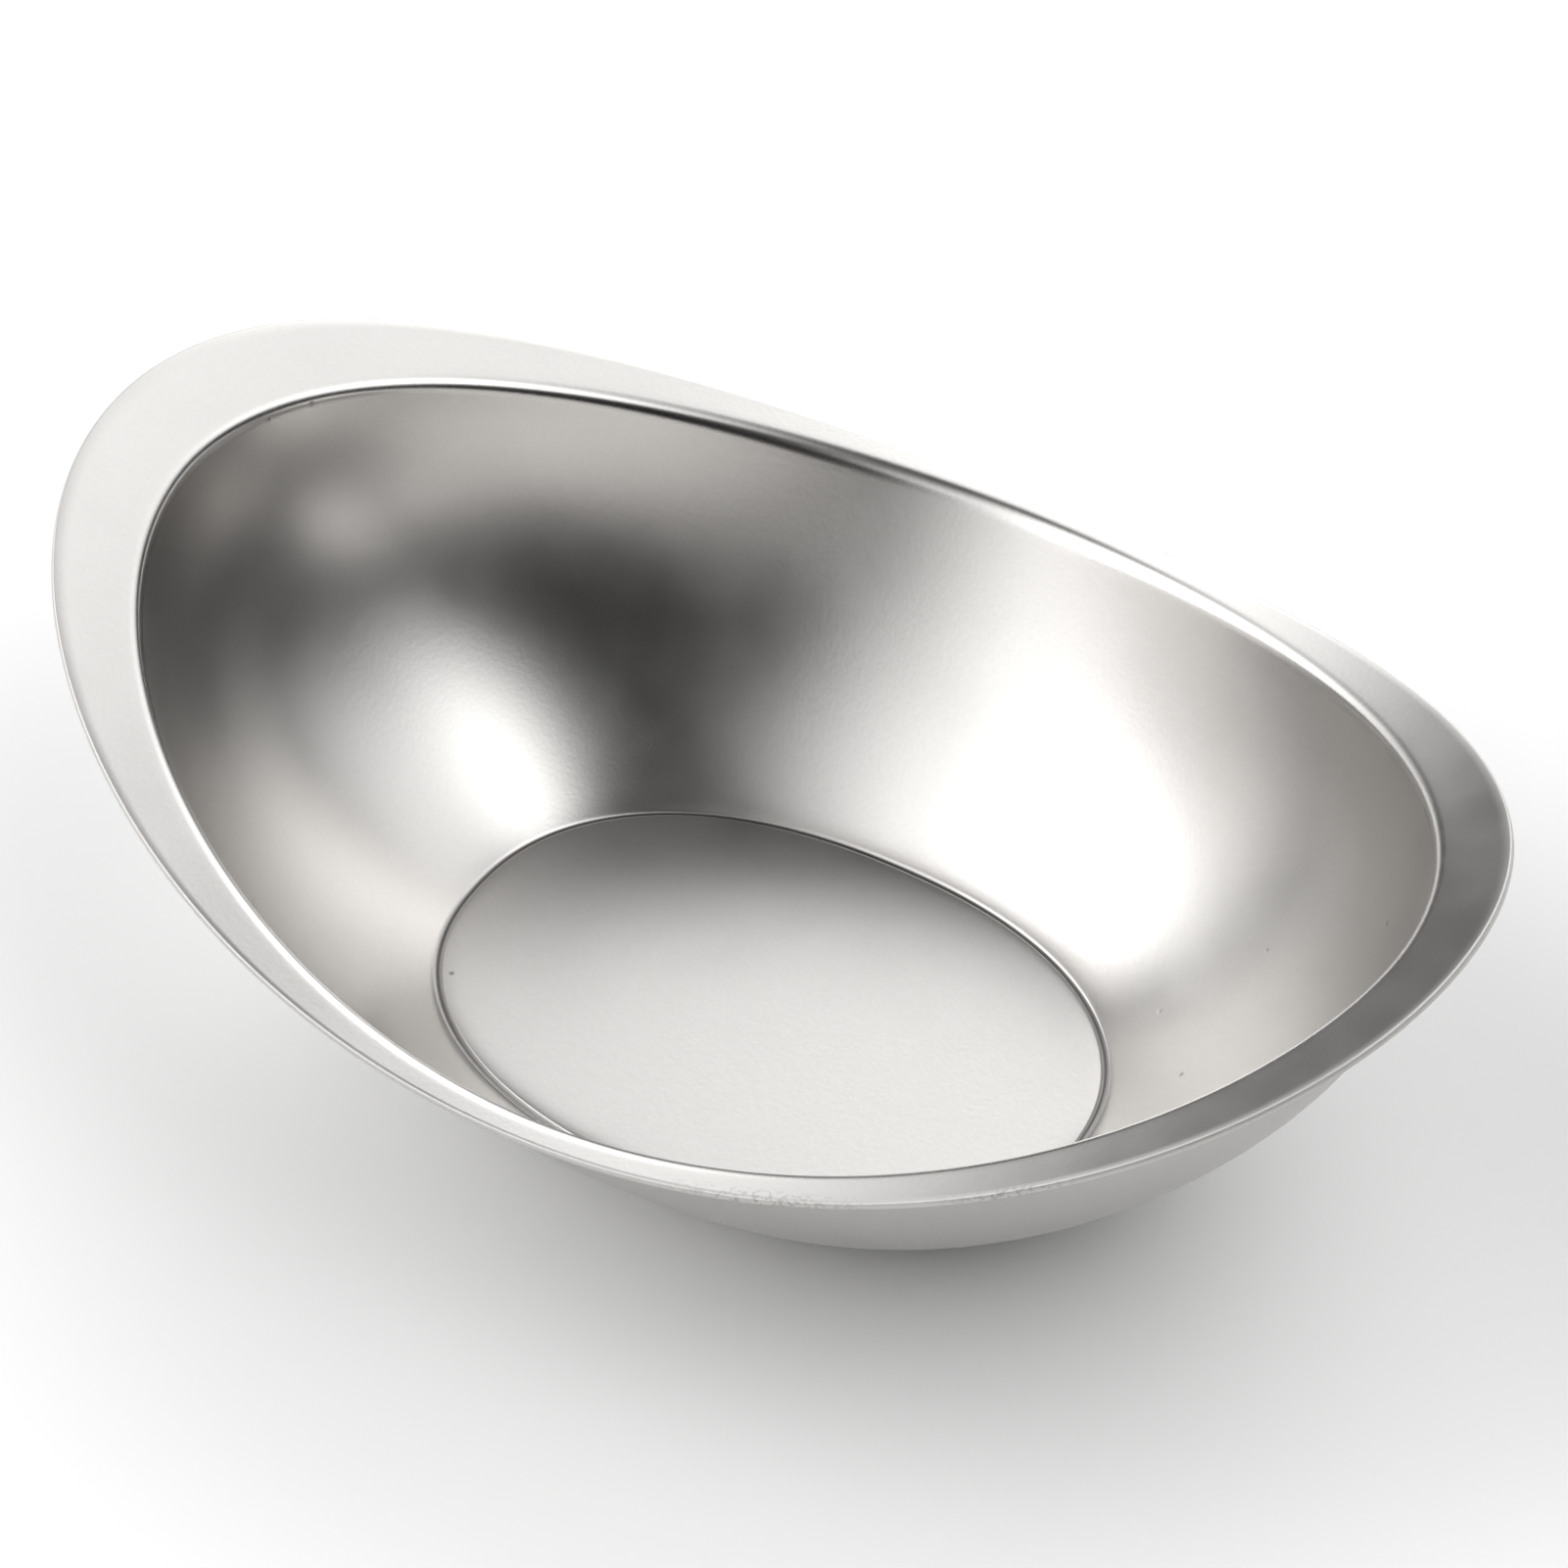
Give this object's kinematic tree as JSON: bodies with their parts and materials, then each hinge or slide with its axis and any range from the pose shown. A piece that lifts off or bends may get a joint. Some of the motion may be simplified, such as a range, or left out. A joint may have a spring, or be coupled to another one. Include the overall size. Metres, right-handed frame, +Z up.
{
  "type": "oval dish",
  "caption": "Deep oval boat-shaped ward dish pressed from stainless sheet, with a flanged rim swept up at both ends and a raised floor panel.",
  "frame": {"origin": "on the ground, under the middle of the dish", "axes": "+X along the long axis, +Y along the short axis, +Z up out of the bowl"},
  "size_m": [0.251, 0.1648, 0.082],
  "materials": {
    "steel": "satin stainless steel, lightly blasted or tumbled, with rim wear"
  },
  "bodies": {
    "root": {"dish_body": "steel"}
  },
  "joints": []
}
